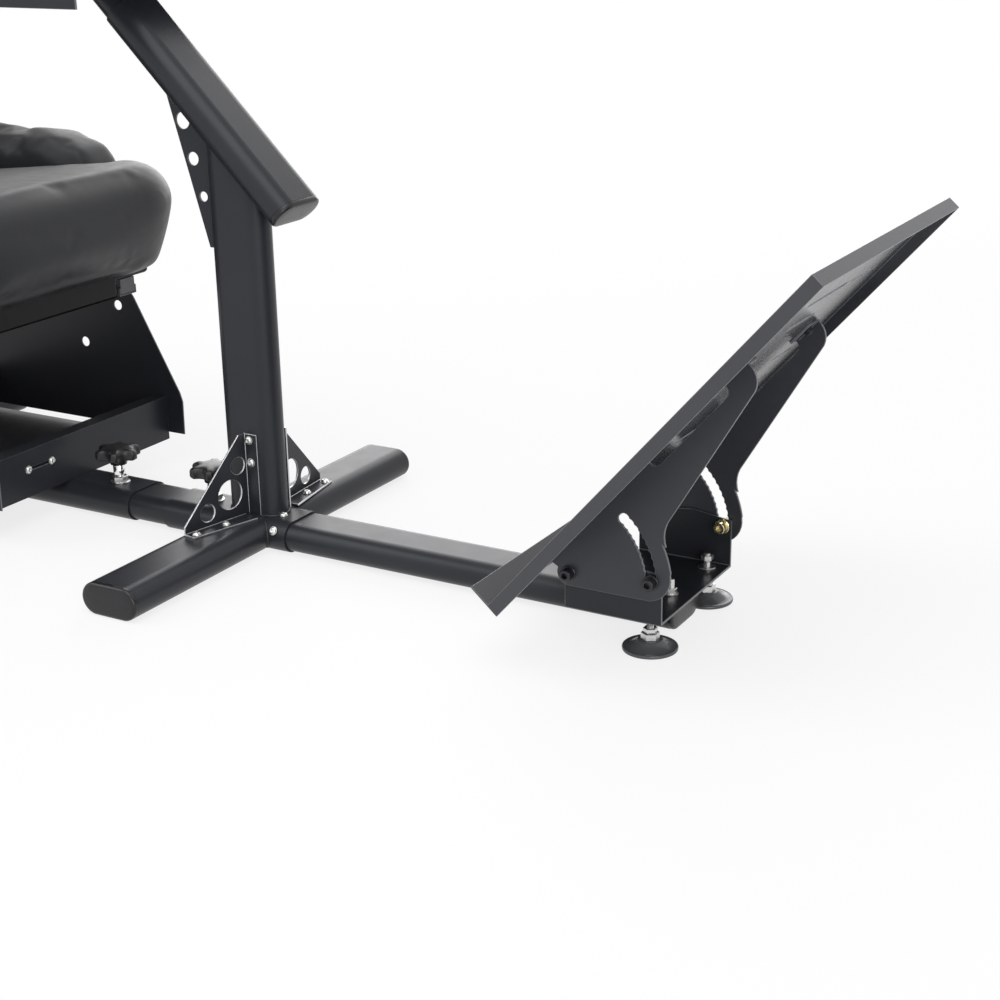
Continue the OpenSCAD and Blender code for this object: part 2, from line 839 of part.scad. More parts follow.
shell_edge = [
    [pan_half - fit_gap, -20], [pan_half - fit_gap, bolster_low], [half_back - 10, 240], [half_back, 380],
    [half_back - 2, neck_z - 110], [half_back - 22, neck_z - 50], [half_neck + 20, neck_z - 10],
    [half_head + 16, neck_z + 30], [half_head + 8, back_len - 60], [half_head - 30, back_len - 5]
];

function mirrored(edge) = concat(edge, [for (i = [len(edge) - 1 : -1 : 0]) [-edge[i][0], edge[i][1]]]);

module back_shell() {
    color(plastic_black) back_part(pad_back - shell_t, shell_t) polygon(mirrored(shell_edge));
}

module recliner_brackets() {
    color(steel_black) for (side = [-1, 1])
        upright_plate(side > 0 ? pan_half : -pan_half - frame_t * 2, side > 0 ? pan_half + frame_t * 2 : -pan_half)
            polygon([[cushion_rear + 90, pan_z], [cushion_rear + 90, pan_z + pan_t],
                     [cushion_rear - 1, pan_z + pan_t], [cushion_rear - 70, pan_z + 110],
                     [cushion_rear - 105, pan_z + 110], [cushion_rear - 85, pan_z]]);
}

module back_cushion() {
    color(vinyl) back_part(pad_back + fit_gap, pad_front - pad_back - fit_gap)
        polygon(mirrored([[half_neck - 8, 0], [half_neck, 60], [half_neck + 6, 300], [half_neck - 4, neck_z - 40],
                          [half_neck - 24, neck_z - 12]]));
}

module back_bolster(side) {
    color(vinyl) back_part(pad_back + fit_gap, pad_front - pad_back + 40) polygon([
        [side * (half_neck + 1.5), bolster_low], [side * (pan_half - fit_gap), bolster_low],
        [side * (half_back - 10), 240], [side * half_back, 380], [side * (half_back - 2), neck_z - 110],
        [side * (half_back - 22), neck_z - 50], [side * (half_neck + 20), neck_z - 22],
        [side * half_neck, neck_z - 22], [side * (half_neck + 7), 300]
    ]);
}

module back_bolster_right() {
    back_bolster(-1);
}

module back_bolster_left() {
    back_bolster(1);
}

module headrest() {
    color(vinyl) back_part(pad_back + fit_gap, pad_front - pad_back + 5)
        polygon(mirrored([[half_head - 8, neck_z + 4], [half_head, neck_z + 70], [half_head - 14, back_len - 34],
                          [half_head - 44, back_len - 14]]));
}

main_rail();
rail_cap();
pedal_base();
base_bolts();
levelling_foot(-1);  // levelling_foot_right
levelling_foot(1);  // levelling_foot_left
pivot_bolts();
slot_bolt_right();
slot_bolt_left();
pedal_arm(-1);  // pedal_arm_right
pedal_arm(1);  // pedal_arm_left
pedal_plate();
plate_bolts();
column_sleeve();
cross_foot_right();
cross_foot_left();
foot_caps();
column();
gusset_right();
gusset_left();
gusset_screws();
upper_gusset();
steering_tube();
steering_tube_cap();
steering_inner_tube();
wheel_deck();
column_knob_nut();
column_knob_stem();
column_knob();
seat_sleeve();
seat_sleeve_cap();
rear_foot_right();
rear_foot_left();
rear_foot_caps();
seat_tray();
tray_bolts();
side_plate_right();
side_plate_left();
slide_channels();
seat_knob_nut();
seat_knob_stem();
seat_knob();
slide_runners();
seat_pan();
seat_cushion();
seat_bolster_right();
seat_bolster_left();
recliner_brackets();
back_shell();
back_cushion();
back_bolster_right();
back_bolster_left();
headrest();
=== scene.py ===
import json
import math
import bpy
import bmesh
from mathutils import Matrix, Vector

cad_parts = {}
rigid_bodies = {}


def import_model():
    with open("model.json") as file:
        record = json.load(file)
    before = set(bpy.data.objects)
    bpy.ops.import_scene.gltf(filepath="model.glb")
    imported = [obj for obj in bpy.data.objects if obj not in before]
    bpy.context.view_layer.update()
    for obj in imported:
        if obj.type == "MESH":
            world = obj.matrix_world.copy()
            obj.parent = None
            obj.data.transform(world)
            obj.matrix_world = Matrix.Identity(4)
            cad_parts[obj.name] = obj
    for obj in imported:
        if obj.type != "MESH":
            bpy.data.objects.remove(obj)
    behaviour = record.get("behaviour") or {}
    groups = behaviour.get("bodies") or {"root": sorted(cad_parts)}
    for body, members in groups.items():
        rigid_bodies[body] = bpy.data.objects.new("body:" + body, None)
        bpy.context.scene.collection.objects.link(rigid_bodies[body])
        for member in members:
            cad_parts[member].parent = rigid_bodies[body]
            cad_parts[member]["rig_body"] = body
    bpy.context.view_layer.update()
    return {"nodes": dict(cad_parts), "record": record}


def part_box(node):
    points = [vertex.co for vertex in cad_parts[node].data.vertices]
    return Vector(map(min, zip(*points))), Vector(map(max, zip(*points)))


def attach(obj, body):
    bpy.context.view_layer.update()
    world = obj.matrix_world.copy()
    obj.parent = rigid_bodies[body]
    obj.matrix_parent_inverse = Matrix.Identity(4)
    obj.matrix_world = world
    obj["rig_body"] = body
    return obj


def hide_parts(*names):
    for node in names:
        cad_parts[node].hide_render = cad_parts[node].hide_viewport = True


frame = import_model()
bpy.ops.object.select_all(action="DESELECT")
print("frame loaded")

# The photograph's camera, in metres, and its lens and sensor in millimetres
photoView = {
    "place": (1.3273, -1.6846, 0.8079), "lens": 63.65, "sensor": 36,
    "right": (0.8684, 0.4956, -0.0157), "up": (-0.1546, 0.3006, 0.9411), "forward": (-0.4712, 0.8149, -0.3377),
}


def addCamera():
    back = -Vector(photoView["forward"])
    facing = Matrix((photoView["right"], photoView["up"], back)).transposed()
    bpy.ops.object.camera_add(location=photoView["place"], rotation=facing.to_euler())
    camera = bpy.context.object
    camera.data.sensor_width = photoView["sensor"]
    camera.data.lens = photoView["lens"]
    bpy.context.scene.camera = camera


addCamera()
bpy.context.scene.view_settings.view_transform = "Standard"


# A link in a shader tree that can be added and multiplied, from either side
class Wire:
    def __init__(self, finish, socket):
        self.finish, self.socket = finish, socket

    def calc(self, operation, first, second):
        return self.finish.node("Math", {"operation": operation}, {0: first, 1: second})

    def __add__(self, other):
        return self.calc("ADD", self, other)

    def __radd__(self, other):
        return self.calc("ADD", other, self)

    def __mul__(self, other):
        return self.calc("MULTIPLY", self, other)

    def __rmul__(self, other):
        return self.calc("MULTIPLY", other, self)


# A material with a principled shader and the nodes that feed it
class Finish:
    def __init__(self, name, colour, roughness, metallic=0.0, **fixed):
        self.material = bpy.data.materials.new(name)
        self.material.use_nodes = True
        self.tree = self.material.node_tree
        self.shader = self.tree.nodes["Principled BSDF"]
        self.out = self.tree.nodes["Material Output"]
        self.put("Base Color", (*colour, 1))
        self.put("Roughness", roughness)
        self.put("Metallic", metallic)
        for key, value in fixed.items():
            self.put(key.replace("_", " "), value)

    def node(self, kind, settings={}, values={}, output=0):
        made = self.tree.nodes.new("ShaderNode" + kind)
        for name, value in settings.items():
            setattr(made, name, value)
        for name, value in values.items():
            if isinstance(value, Wire):
                self.tree.links.new(value.socket, made.inputs[name])
            else:
                made.inputs[name].default_value = value
        return Wire(self, made.outputs[output])

    def put(self, name, value):
        if isinstance(value, Wire):
            self.tree.links.new(value.socket, self.shader.inputs[name])
        else:
            self.shader.inputs[name].default_value = value

    def place(self):
        return self.node("TexCoord", output="Object")

    def noise(self, scale, detail=2.0, roughness=0.5):
        values = {"Vector": self.place(), "Scale": scale, "Detail": detail, "Roughness": roughness}
        return self.node("TexNoise", {}, values)

    # A colour that drifts between two
    def cloudy(self, low, high, scale, detail=2.0):
        values = {0: self.noise(scale, detail), 6: (*low, 1), 7: (*high, 1)}
        self.put("Base Color", self.node("Mix", {"data_type": "RGBA"}, values, output=2))

    # A roughness that swings around a middle
    def uneven(self, middle, swing, scale, detail=2.0):
        self.put("Roughness", self.noise(scale, detail) * swing + (middle - swing / 2))

    def bump(self, height, distance, strength):
        self.put("Normal", self.node("Bump", {}, {"Height": height, "Distance": distance, "Strength": strength}))


# Room light in metres and watts: white to the camera and in reflections, dimmer as light
studio = {"sky": (0.93, 0.96, 1.0), "skyLevel": 0.55, "floorColour": (0.82, 0.82, 0.82), "floorHalf": 40,
          "floorSink": 0.0005, "floorRoughness": 0.9, "floorGlow": 0.80, "clearFrom": 1.5, "clearTo": 4.2,
          "lamps": [
              {"place": (0.6, -1.2, 3.2), "aim": (0, 0, 0.2), "size": 2.6, "power": 50},
              {"place": (-2.5, -1.6, 2.7), "aim": (0, 0, 0.3), "size": 2.4, "power": 36},
              {"place": (-1.7, 4.6, 2.1), "aim": (0, 0, 0.2), "size": 4.4, "power": 140},
              {"place": (2.9, -2.6, 1.1), "aim": (0, 0, 0.3), "size": 1.8, "power": 42},
          ]}


def addWorld():
    world = bpy.data.worlds.new("studioWorld")
    bpy.context.scene.world = world
    world.use_nodes = True
    tree = world.node_tree
    background = tree.nodes["Background"]
    background.inputs["Color"].default_value = (*studio["sky"], 1)
    background.inputs["Strength"].default_value = studio["skyLevel"]
    white = tree.nodes.new("ShaderNodeBackground")
    white.inputs["Color"].default_value = (1, 1, 1, 1)
    white.inputs["Strength"].default_value = 1.0
    path = tree.nodes.new("ShaderNodeLightPath")
    seen = tree.nodes.new("ShaderNodeMath")
    seen.operation = "MAXIMUM"
    tree.links.new(path.outputs["Is Camera Ray"], seen.inputs[0])
    tree.links.new(path.outputs["Is Glossy Ray"], seen.inputs[1])
    mix = tree.nodes.new("ShaderNodeMixShader")
    tree.links.new(seen.outputs[0], mix.inputs[0])
    tree.links.new(background.outputs[0], mix.inputs[1])
    tree.links.new(white.outputs[0], mix.inputs[2])
    tree.links.new(mix.outputs[0], tree.nodes["World Output"].inputs[0])


def addLamps():
    for lamp in studio["lamps"]:
        toAim = Vector(lamp["aim"]) - Vector(lamp["place"])
        facing = toAim.to_track_quat("-Z", "Y").to_euler()
        bpy.ops.object.light_add(type="AREA", location=lamp["place"], rotation=facing)
        light = bpy.context.object
        light.data.size = lamp["size"]
        light.data.energy = lamp["power"]
        light.visible_camera = False


def addFloor():
    bpy.ops.mesh.primitive_plane_add(size=2 * studio["floorHalf"], location=(0, 0, -studio["floorSink"]))
    floor = bpy.context.object
    floor.name = "floor"
    paper = Finish("paleFloor", studio["floorColour"], studio["floorRoughness"])
    seen = paper.node("LightPath", output="Is Camera Ray")
    path = seen.calc("MAXIMUM", seen, paper.node("LightPath", output="Is Glossy Ray"))
    glow = paper.node("Emission", {}, {"Color": (1, 1, 1, 1), "Strength": 1.0})
    lit = Wire(paper, paper.shader.outputs[0])
    away = paper.node("VectorMath", {"operation": "LENGTH"}, {0: paper.place()}, output=1)
    clear = paper.node("MapRange", {"interpolation_type": "SMOOTHSTEP"},
                       {0: away, 1: studio["clearFrom"], 2: studio["clearTo"], 3: studio["floorGlow"], 4: 1.0})
    mixed = paper.node("MixShader", {}, {0: path * clear, 1: lit, 2: glow})
    paper.tree.links.new(mixed.socket, paper.out.inputs[0])
    floor.data.materials.append(paper.material)
    bpy.ops.object.select_all(action="DESELECT")


addWorld()
addLamps()
addFloor()
print("studio set")


# Finishes: each takes its colours, and its grain is in texture scales and metres of relief
def powderCoat(name="powderCoat", low=(0.0165, 0.0175, 0.0212), high=(0.0245, 0.0257, 0.0306), roughness=0.34,
               specular=0.27, peelDepth=0.18):
    coat = Finish(name, low, roughness, Specular_IOR_Level=specular)
    coat.cloudy(low, high, scale=7.0, detail=3.0)
    coat.uneven(roughness, swing=0.10, scale=45.0)
    coat.bump(coat.noise(scale=620.0, roughness=0.6), distance=0.00025, strength=peelDepth)
    return coat.material


def mouldedPlastic(name="mouldedPlastic", colour=(0.010, 0.010, 0.0112), roughness=0.28, grain=0.25, paler=1.5):
    plastic = Finish(name, colour, roughness, Specular_IOR_Level=0.38)
    plastic.cloudy(colour, tuple(c * paler for c in colour), scale=18.0)
    plastic.uneven(roughness, swing=0.12, scale=160.0)
    plastic.bump(plastic.noise(scale=1500.0, detail=1.0), distance=0.0002, strength=grain)
    return plastic.material


def platedMetal(name, low, high, roughness):
    metal = Finish(name, low, roughness, metallic=1.0)
    metal.cloudy(low, high, scale=60.0, detail=3.0)
    metal.uneven(roughness, swing=0.14, scale=260.0)
    metal.bump(metal.noise(scale=900.0), distance=0.0001, strength=0.2)
    return metal.material


def blackenedSteel():
    metal = Finish("blackenedSteel", (0.03, 0.03, 0.032), roughness=0.34, metallic=0.7)
    metal.cloudy((0.025, 0.025, 0.028), (0.06, 0.06, 0.065), scale=120.0)
    metal.bump(metal.noise(scale=700.0), distance=0.0001, strength=0.2)
    return metal.material


def charcoalVinyl(name="charcoalVinyl", low=(0.0160, 0.0167, 0.0182), high=(0.0225, 0.0236, 0.0256), specular=0.32,
                  roughness=0.44, poreShare=0.35):
    vinyl = Finish(name, low, roughness, Specular_IOR_Level=specular)
    vinyl.cloudy(low, high, scale=5.0, detail=4.0)
    vinyl.uneven(roughness, swing=0.14, scale=70.0, detail=3.0)
    pores = vinyl.node("TexVoronoi", {"feature": "SMOOTH_F1"}, {"Vector": vinyl.place(), "Scale": 760.0})
    creases = vinyl.noise(scale=55.0, detail=5.0, roughness=0.6)
    vinyl.bump(pores * poreShare + creases, distance=0.0009, strength=0.22)
    return vinyl.material


finishes = {
    "steel": powderCoat(),
    # A lighter copy of the coat for the bevels and cut edges of steel sheets: a painted edge highlight
    "steelEdgeHighlight": powderCoat("powderCoatPaintedEdgeHighlight", (0.10, 0.104, 0.112), (0.15, 0.155, 0.165), 0.30, specular=0.45),
    # The pedal plate: a glossier coat, and a colour lighter than the steel's, which is painted light
    "plateCoatPaintedLight": powderCoat("plateCoatPaintedLight", (0.024, 0.0252, 0.0296), (0.033, 0.0345, 0.0400), 0.26, specular=0.65,
                            peelDepth=0.05),
    # A lighter copy of the coat for the pedal arms: painted light on their sides
    "armCoatPaintedLight": powderCoat("armCoatPaintedLight", (0.028, 0.0294, 0.0348), (0.038, 0.0400, 0.0465), 0.36, specular=0.42),
    "plastic": mouldedPlastic(),
    # The levelling pads' plastic is lighter than the other plastic: a painted reflection on their tops
    "foot_plastic": mouldedPlastic("padPlasticPaintedReflection", (0.066, 0.068, 0.070), 0.24, grain=0.1),
    "knobPlastic": mouldedPlastic("knobPlastic", (0.014, 0.014, 0.015), 0.33, grain=0.2),
    # Bright metal in place of the coat on the gussets' edges: a painted edge highlight
    "brightEdge": platedMetal("bareEdge", (0.50, 0.51, 0.53), (0.66, 0.67, 0.69), 0.34),
    "black_fastener": blackenedSteel(),
    "railSteel": platedMetal("railSteel", (0.070, 0.070, 0.074), (0.120, 0.120, 0.125), 0.38),
    "zinc": platedMetal("zincPlate", (0.60, 0.60, 0.58), (0.74, 0.75, 0.74), 0.30),
    "yellow_zinc": platedMetal("yellowZinc", (0.66, 0.58, 0.33), (0.80, 0.74, 0.52), 0.28),
    "chrome": platedMetal("chromePlate", (0.80, 0.80, 0.81), (0.86, 0.86, 0.87), 0.10),
    "vinyl": charcoalVinyl(),
    # A darker copy of the vinyl with a weaker reflection, for the seat base's skirt: painted shade
    "skirtVinylPaintedShade": charcoalVinyl("skirtVinylPaintedShade", (0.0050, 0.0052, 0.0058), (0.0080, 0.0083, 0.0092), specular=0.16),
}
slotOf = {s["node"]: s["material_slot"] for s in frame["record"]["subparts"]}
for node, piece in frame["nodes"].items():
    piece.data.materials.clear()
    piece.data.materials.append(finishes[slotOf[node]])
print("finishes made")


# Gives a piece its finish, and the body of the CAD node that it belongs to
def dress(piece, finish, node):
    piece.data.materials.clear()
    piece.data.materials.append(finishes[finish])
    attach(piece, frame["nodes"][node]["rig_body"])
    piece.select_set(False)


def dressAndReplace(piece, finish, node):
    dress(piece, finish, node)
    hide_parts(node)


def select(piece):
    bpy.ops.object.select_all(action="DESELECT")
    piece.select_set(True)
    bpy.context.view_layer.objects.active = piece


def applyAll(piece):
    bpy.context.view_layer.objects.active = piece
    for modifier in list(piece.modifiers):
        bpy.ops.object.modifier_apply(modifier=modifier.name)


def edit(piece):
    select(piece)
    bpy.ops.object.mode_set(mode="EDIT")
    bpy.ops.mesh.select_all(action="SELECT")


def leave():
    bpy.ops.object.mode_set(mode="OBJECT")


# Selects the edges that pass a test
def pickEdges(piece, test):
    bpy.ops.mesh.select_mode(type="EDGE")
    bpy.ops.mesh.select_all(action="DESELECT")
    shape = bmesh.from_edit_mesh(piece.data)
    for edge in shape.edges:
        if test(edge):
            edge.select = True
    shape.select_flush_mode()
    bmesh.update_edit_mesh(piece.data)


def twin(piece, name):
    other = piece.copy()
    other.data = piece.data.copy()
    other.name = name
    for key in list(other.keys()):
        del other[key]
    bpy.context.scene.collection.objects.link(other)
    return other


# Millimetres in which points merge, and degrees under which neighbouring faces become one
merging = {"near": 0.01, "flat": 0.6}


# A merged copy of a CAD node
def copyNode(node, name):
    piece = twin(frame["nodes"][node], name)
    piece.parent = None
    select(piece)
    if piece.data.has_custom_normals:
        bpy.ops.mesh.customdata_custom_splitnormals_clear()
    edit(piece)
    bpy.ops.mesh.remove_doubles(threshold=merging["near"] / 1000)
    bpy.ops.mesh.dissolve_limited(angle_limit=math.radians(merging["flat"]))
    bpy.ops.mesh.normals_make_consistent(inside=False)
    leave()
    return piece


# Flat slivers beside a bevel take the finish of the face that they lie in
def settleSlivers(piece, level=0.9998):
    shape = bmesh.new()
    shape.from_mesh(piece.data)
    for face in shape.faces:
        for edge in face.edges:
            beside = [other for other in edge.link_faces if other.material_index == 0]
            if any(other.normal.dot(face.normal) > level for other in beside):
                face.material_index = 0
    shape.to_mesh(piece.data)
    shape.free()


# A copy of a CAD node with its sharp edges rounded and its flats shaded flat
# The second material goes on the bevels and on faces narrower than the sheet; on steel sheets it is a lighter
# coat, a painted edge highlight
def soften(node, width, name, edgeFinish=None, angle=32, segments=3, sheet=0.0, finish=None):
    piece = copyNode(node, name)
    dress(piece, finish or slotOf[node], node)
    piece.data.materials.append(edgeFinish or finishes[finish or slotOf[node]])
    for face in piece.data.polygons:
        around = sum((piece.data.vertices[a].co - piece.data.vertices[b].co).length for a, b in face.edge_keys)
        if 2 * face.area / around < sheet:
            face.material_index = 1
    bevel = piece.modifiers.new("round", "BEVEL")
    bevel.width = width
    bevel.segments = segments
    bevel.limit_method = "ANGLE"
    bevel.angle_limit = math.radians(angle)
    bevel.use_clamp_overlap = False
    bevel.material = 1
    applyAll(piece)
    settleSlivers(piece)
    piece.select_set(True)
    bpy.ops.object.shade_smooth_by_angle(angle=math.radians(angle + 4))
    even = piece.modifiers.new("even", "WEIGHTED_NORMAL")
    even.weight = 95
    even.keep_sharp = True
    applyAll(piece)
    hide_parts(node)
    piece.select_set(False)


# A turned piece along Z, from rings of radius and height in millimetres
def turn(name, rings, sides, angle=40):
    first, height = rings[0]
    bpy.ops.object.select_all(action="DESELECT")
    bpy.ops.mesh.primitive_circle_add(vertices=sides, radius=first / 1000, fill_type="NGON",
                                      location=(0, 0, height / 1000))
    piece = bpy.context.object
    piece.name = name
    bpy.ops.object.transform_apply(location=True, rotation=True, scale=True)
    bpy.ops.object.mode_set(mode="EDIT")
    bpy.ops.mesh.select_all(action="SELECT")
    for (was, low), (now, high) in zip(rings, rings[1:]):
        bpy.ops.mesh.extrude_region_move(TRANSFORM_OT_translate={"value": (0, 0, (high - low) / 1000)})
        bpy.ops.transform.resize(value=(now / was, now / was, 1), center_override=(0, 0, high / 1000))
    bpy.ops.mesh.select_all(action="SELECT")
    bpy.ops.mesh.normals_make_consistent(inside=False)
    leave()
    bpy.ops.object.shade_smooth_by_angle(angle=math.radians(angle))
    return piece


def join(name, pieces):
    bpy.ops.object.select_all(action="DESELECT")
    for piece in pieces:
        piece.select_set(True)
    bpy.context.view_layer.objects.active = pieces[0]
    bpy.ops.object.join()
    pieces[0].name = name
    return pieces[0]


def centre(node):
    low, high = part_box(node)
    return (Vector(low) + Vector(high)) / 2


# An 8 mm thread and the chamfers of its nuts
threading = {"radius": 4.0, "pitch": 1.25, "depth": 0.45, "tip": 3.2, "tipLength": 0.6,
             "chamfer": 0.7, "corner": 0.9}


def thread(low, high):
    turns = int((high - low) / threading["pitch"] * 2)
    return [(threading["radius"] - threading["depth"] * (i % 2), low + (high - low) * i / turns)
            for i in range(turns + 1)]


def studTo(name, low, top):
    rings = thread(low, top - threading["tipLength"]) + [(threading["tip"], top)]
    return turn(name, rings, 24, 20)


def nutRings(radius, low, high):
    chamfer, corner = threading["chamfer"], radius * threading["corner"]
    return [(corner, low), (radius, low + chamfer), (radius, high - chamfer), (corner, high)]


# Sheet parts and how far their edges are rounded, in metres
sheetEdges = {
    "pedal_base": 0.0007, "pedal_arm_right": 0.0006, "pedal_arm_left": 0.0006, "pedal_plate": 0.0005,
    "gusset_right": 0.0005, "gusset_left": 0.0005, "upper_gusset": 0.0005, "wheel_deck": 0.0007,
    "seat_tray": 0.0005, "side_plate_right": 0.0005, "side_plate_left": 0.0005, "recliner_brackets": 0.0006,
    "slide_channels": 0.0004, "slide_runners": 0.0005,
}
sheetThick = 0.0031
# The pedal plate and arms take lighter copies of the coat, which is painted light
sheetFinish = {"pedal_plate": "plateCoatPaintedLight", "pedal_arm_right": "armCoatPaintedLight", "pedal_arm_left": "armCoatPaintedLight",
               "slide_channels": "railSteel", "slide_runners": "railSteel"}


def addSheets():
    for node, width in sheetEdges.items():
        steel = slotOf[node] == "steel"
        # Steel sheets take a lighter coat on their bevels and cut edges, and gussets take bright metal there: both
        # are painted edge highlights
        edge = finishes["brightEdge" if node.startswith("gusset") else "steelEdgeHighlight"] if steel else None
        soften(node, width, node + "Sheet", edge, sheet=sheetThick if steel else 0, finish=sheetFinish.get(node))


addSheets()
print("sheet metal done")


# The flat-oval tubes and the rail inside the sleeves, in millimetres
tube = {"wide": 80, "high": 40, "half": 20.0, "railWide": 75.5, "railHigh": 35.5}
steeringTube = {"height": 479.0, "slope": math.radians(45), "down": 90.0}

endCap = {
    "rings": [(17.2, -8.0), (17.6, 0.0), (19.4, 0.0), (19.9, 0.3), (20.0, 0.8), (20.0, 3.6), (19.6, 4.9),
              (18.7, 6.0), (17.4, 6.7), (15.6, 7.0), (9.0, 7.15), (3.0, 7.2)],
    "standOut": 7.0, "flatBy": 15,
}


# A flat-oval cap made as a round one and drawn apart; it looks along Z, its wide side along X
def capAt(name, matrix, wide=1.0, narrow=1.0, onAxis=0.00001):
    cap = turn(name, endCap["rings"], 64, 35)
    for point in cap.data.vertices:
        share = min(1, math.hypot(point.co.x, point.co.y) * 1000 / endCap["flatBy"])
        if abs(point.co.x) > onAxis:
            point.co.x += math.copysign(tube["half"] / 1000, point.co.x) * share
    cap.data.transform(matrix @ Matrix.Diagonal((wide, narrow, 1, 1)))
    return cap


def addCaps():
    out, up = endCap["standOut"] / 1000, tube["half"] / 1000
    for node in ("foot_caps", "rear_foot_caps"):
        x, low, high = centre(node).x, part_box(node)[0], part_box(node)[1]
        both = []
        for side, end in ((-1, low[1] + out), (1, high[1] - out)):
            matrix = Matrix.Translation((x, end, up)) @ Matrix.Rotation(math.radians(-90 * side), 4, "X")
            both.append(capAt(node + "Side", matrix))
        dressAndReplace(join(node + "Moulded", both), "plastic", node)
    sideways = Matrix.Rotation(math.radians(90), 4, "Z")
    forward, backward = (Matrix.Rotation(math.radians(way), 4, "Y") @ sideways for way in (90, -90))
    front = Matrix.Translation((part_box("rail_cap")[1][0] - out, 0, up))
    wide, narrow = tube["railWide"] / tube["wide"], tube["railHigh"] / tube["high"]
    dressAndReplace(capAt("railCapMoulded", front @ forward, wide, narrow), "plastic", "rail_cap")
    rear = Matrix.Translation((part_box("seat_sleeve_cap")[0][0] + out, 0, up))
    dressAndReplace(capAt("seatSleeveCapMoulded", rear @ backward), "plastic", "seat_sleeve_cap")
    slope = Matrix.Translation((0, 0, steeringTube["height"] / 1000))
    slope = slope @ Matrix.Rotation(steeringTube["slope"], 4, "Y")
    low = slope @ Matrix.Translation((steeringTube["down"] / 1000, 0, up))
    dressAndReplace(capAt("steeringCapMoulded", low @ forward), "plastic", "steering_tube_cap")


addCaps()

# Star knobs: rings of radius and height in millimetres, the neck's, washer's and nut's heights from the floor
starKnob = {
    "rings": [(10.0, -9.0), (11.0, -8.4), (12.2, -1.5), (14.0, -0.4), (22.0, 0.0), (27.6, 0.3), (29.4, 1.6),
              (30.0, 3.4), (30.0, 9.0), (29.2, 11.2), (27.2, 13.2), (24.0, 14.4), (18.0, 15.2), (11.0, 15.7),
              (5.0, 15.9)],
    "rim": 30.0, "cutFrom": 12.5, "cutOver": 12, "lobes": 6, "notchCentre": 35.0, "notchRadius": 13.0,
    "roundOff": 2.2,
    "neck": [(4.9, 38.2), (4.9, 51.0), (7.4, 51.0), (8.0, 51.6), (8.0, 64.0), (7.4, 64.8), (7.4, 68.0)],
    "washer": [(12.6, 40.0), (13.2, 40.3), (13.2, 41.2), (12.7, 41.6)],
    "nut": (11.0, 41.6, 49.0),
}


# How far the knob's rim lies from its middle, in a direction
def knobReach(direction):
    rim, soft = starKnob["rim"], starKnob["roundOff"]
    middle, radius = starKnob["notchCentre"], starKnob["notchRadius"]
    step = 2 * math.pi / starKnob["lobes"]
    off = abs((direction % step) - step / 2)
    inside = radius ** 2 - (middle * math.sin(off)) ** 2
    if inside <= 0:
        return rim
    gap = middle * math.cos(off) - math.sqrt(inside) - rim
    if gap > soft:
        return rim
    return rim + gap if gap < -soft else rim + gap - (gap + soft) ** 2 / (4 * soft)


def addKnob(stem, grip, nut):
    middle = centre(grip)
    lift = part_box(grip)[0][2]
    knob = turn(grip + "Star", starKnob["rings"], 96, 50)
    for point in knob.data.vertices:
        reach = math.hypot(point.co.x, point.co.y) * 1000
        share = min(1, max(0, (reach - starKnob["cutFrom"]) / starKnob["cutOver"]))
        share = share * share * (3 - 2 * share)
        cut = 1 - share * (1 - knobReach(math.atan2(point.co.y, point.co.x)) / starKnob["rim"])
        point.co.x *= cut
        point.co.y *= cut
    knob.data.transform(Matrix.Translation((middle.x, middle.y, lift)))
    dressAndReplace(knob, "knobPlastic", grip)
    shift = Matrix.Translation((middle.x, middle.y, 0))
    neck = turn(stem + "Turned", starKnob["neck"], 32)
    neck.data.transform(shift)
    dressAndReplace(neck, "chrome", stem)
    washer = turn(nut + "Washer", starKnob["washer"], 40)
    hexNut = turn(nut + "Hex", nutRings(*starKnob["nut"]), 6, 25)
    both = join(nut + "Turned", [washer, hexNut])
    both.data.transform(shift)
    dressAndReplace(both, "zinc", nut)


addKnob("column_knob_stem", "column_knob", "column_knob_nut")
addKnob("seat_knob_stem", "seat_knob", "seat_knob_nut")
print("caps and knobs done")


# Levelling feet, with heights from the floor in millimetres
levelFoot = {
    "pad": [(29.4, 0.0), (30.8, 0.5), (31.0, 1.4), (31.0, 2.8), (30.4, 3.8), (29.4, 4.1), (28.4, 3.7), (26.5, 4.0),
            (23.5, 5.0), (20.0, 6.6), (16.8, 8.6), (14.6, 10.6), (13.6, 11.6), (12.4, 12.0)],
    "studFrom": 11.5, "studTop": 58.7, "lowNut": (10.5, 12.0, 20.0), "highNut": (8.2, 20.2, 25.4),
    "washer": [(10.0, 40.8), (10.6, 41.1), (10.6, 42.0), (10.2, 42.4)], "topNut": (7.4, 50.2, 56.4),
}


def addFoot(node):
    middle = centre(node)
    shift = Matrix.Translation((middle.x, middle.y, 0))
    pad = turn(node + "Pad", levelFoot["pad"], 64, 35)
    pad.data.transform(shift)
    dressAndReplace(pad, "foot_plastic", node)
    parts = [studTo(node + "Thread", levelFoot["studFrom"], levelFoot["studTop"])]
    for key in ("lowNut", "highNut", "topNut"):
        parts.append(turn(node + key, nutRings(*levelFoot[key]), 6, 25))
    parts.append(turn(node + "washer", levelFoot["washer"], 32))
    metal = join(node + "Stud", parts)
    metal.data.transform(shift)
    dress(metal, "zinc", node)


addFoot("levelling_foot_right")
addFoot("levelling_foot_left")


# Socket bolt along Z, its washer standing on 0, with a nut grip below, in millimetres
socketBolt = {
    "head": [(8.2, 0.0), (8.8, 0.4), (8.8, 1.2), (8.3, 1.6), (6.2, 1.6), (6.8, 2.1), (6.8, 9.9), (6.2, 10.6),
             (4.2, 10.6)],
    "top": 10.6, "socket": 3.9, "socketDeep": 4.6, "cutter": 20.0, "grip": 7.1, "nut": (7.5, 6.4), "tail": 13.5,
    "clear": 0.3,
}


